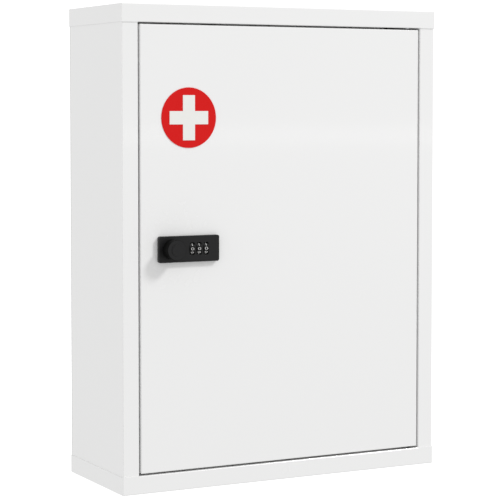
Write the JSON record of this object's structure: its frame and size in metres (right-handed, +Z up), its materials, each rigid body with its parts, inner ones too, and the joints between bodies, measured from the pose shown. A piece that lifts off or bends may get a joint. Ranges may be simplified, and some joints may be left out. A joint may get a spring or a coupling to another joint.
{
  "type": "lockable medicine cabinet",
  "caption": "White steel wall cabinet for medicines: flush hinged door with a first-aid disc, a turn knob and a dial lock, and shelves inside.",
  "frame": {"origin": "middle of the underside of the base, on the surface the cabinet stands on", "axes": "+X to the cabinet's right seen from the front, +Y back towards the wall, +Z up"},
  "size_m": [0.3, 0.1249, 0.4],
  "materials": {
    "white_powder_coat": "smooth satin powder coat",
    "zinc_plated_steel": "bright zinc plating",
    "spring_steel": "blued spring strip",
    "black_lacquer": "satin black lacquer on die-cast zinc",
    "black_plastic": "moulded, fine satin",
    "brass_sleeve": "turned",
    "red_vinyl": "printed vinyl film, semi gloss",
    "white_print": "printed film, semi gloss",
    "bumper_rubber": "soft matte"
  },
  "bodies": {
    "case": {"top_cap": "white_powder_coat", "bottom_cap": "white_powder_coat", "left_side_panel": "white_powder_coat", "right_side_panel": "white_powder_coat", "back_panel": "white_powder_coat", "upper_shelf": "white_powder_coat", "lower_shelf": "white_powder_coat", "hinge_plates": "zinc_plated_steel", "hinge_pins": "zinc_plated_steel", "door_bumpers": "bumper_rubber"},
    "door": {"door_panel": "white_powder_coat", "door_stiffener": "white_powder_coat", "hinge_bushes": "black_plastic", "emblem_disc": "red_vinyl", "emblem_cross": "white_print", "lock_housing": "black_lacquer", "lock_cover": "black_plastic", "cover_screws": "zinc_plated_steel", "lock_screws": "zinc_plated_steel", "dial_axle": "zinc_plated_steel", "detent_spring": "spring_steel", "locking_bar": "brass_sleeve", "bar_spring": "spring_steel"},
    "turn_knob": {"knob": "black_lacquer", "spindle": "zinc_plated_steel", "cam": "zinc_plated_steel", "cam_washer": "zinc_plated_steel", "cam_screw": "zinc_plated_steel"},
    "first_dial": {"dial_1": "black_plastic", "code_sleeve_1": "brass_sleeve"},
    "second_dial": {"dial_2": "black_plastic", "code_sleeve_2": "brass_sleeve"},
    "third_dial": {"dial_3": "black_plastic", "code_sleeve_3": "brass_sleeve"},
    "code_setter": {"code_button": "zinc_plated_steel"}
  },
  "joints": [
    {"name": "door_hinge", "type": "hinge", "parent": "case", "child": "door", "pos_m": [0.1244, -0.0513, 0.2], "axis": [0, 0, 1], "range_deg": [0, 120]},
    {"name": "knob_turn", "type": "hinge", "parent": "door", "child": "turn_knob", "pos_m": [-0.1066, -0.0554, 0.2], "axis": [0, 1, 0], "range_deg": [0, 90]},
    {"name": "dial_1_turn", "type": "hinge", "parent": "door", "child": "first_dial", "pos_m": [-0.0883, -0.0541, 0.2], "axis": [1, 0, 0], "continuous": true},
    {"name": "dial_2_turn", "type": "hinge", "parent": "door", "child": "second_dial", "pos_m": [-0.082, -0.0541, 0.2], "axis": [1, 0, 0], "continuous": true},
    {"name": "dial_3_turn", "type": "hinge", "parent": "door", "child": "third_dial", "pos_m": [-0.0757, -0.0541, 0.2], "axis": [1, 0, 0], "continuous": true},
    {"name": "code_button_press", "type": "slide", "parent": "door", "child": "code_setter", "axis": [0, -1, 0], "range_m": [0, 0.0015], "stiffness_N_per_m": 400}
  ]
}
